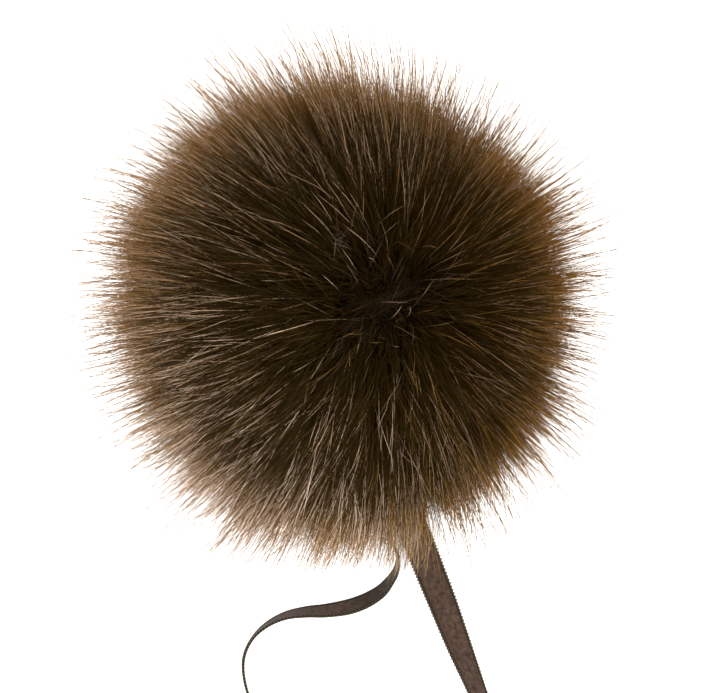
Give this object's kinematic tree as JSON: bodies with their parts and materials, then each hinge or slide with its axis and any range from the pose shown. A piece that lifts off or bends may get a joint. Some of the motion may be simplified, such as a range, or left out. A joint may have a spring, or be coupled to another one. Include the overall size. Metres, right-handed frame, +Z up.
{
  "type": "fur pom pom",
  "caption": "Round long-haired fur pom pom in dark brown, lying on a flat surface with the loose ends of its narrow satin ribbon tie.",
  "frame": {"origin": "on the surface, at the centre of the level foot of the lock that the ball stands on, straight under the middle of the ball", "axes": "+Z up, away from the surface; +Y away from the ribbon's loose ends; +X to the right as seen from above with the ribbon towards the viewer"},
  "size_m": [0.1546, 0.2507, 0.1385],
  "materials": {
    "fur": "long straight fur, near black at the roots and tan at the tips, with a soft sheen",
    "ribbon": "dark grey-brown satin weave with finely toothed edges"
  },
  "bodies": {
    "root": {"fur_ball": "fur", "tie_left": "ribbon", "tie_right": "ribbon"}
  },
  "joints": []
}
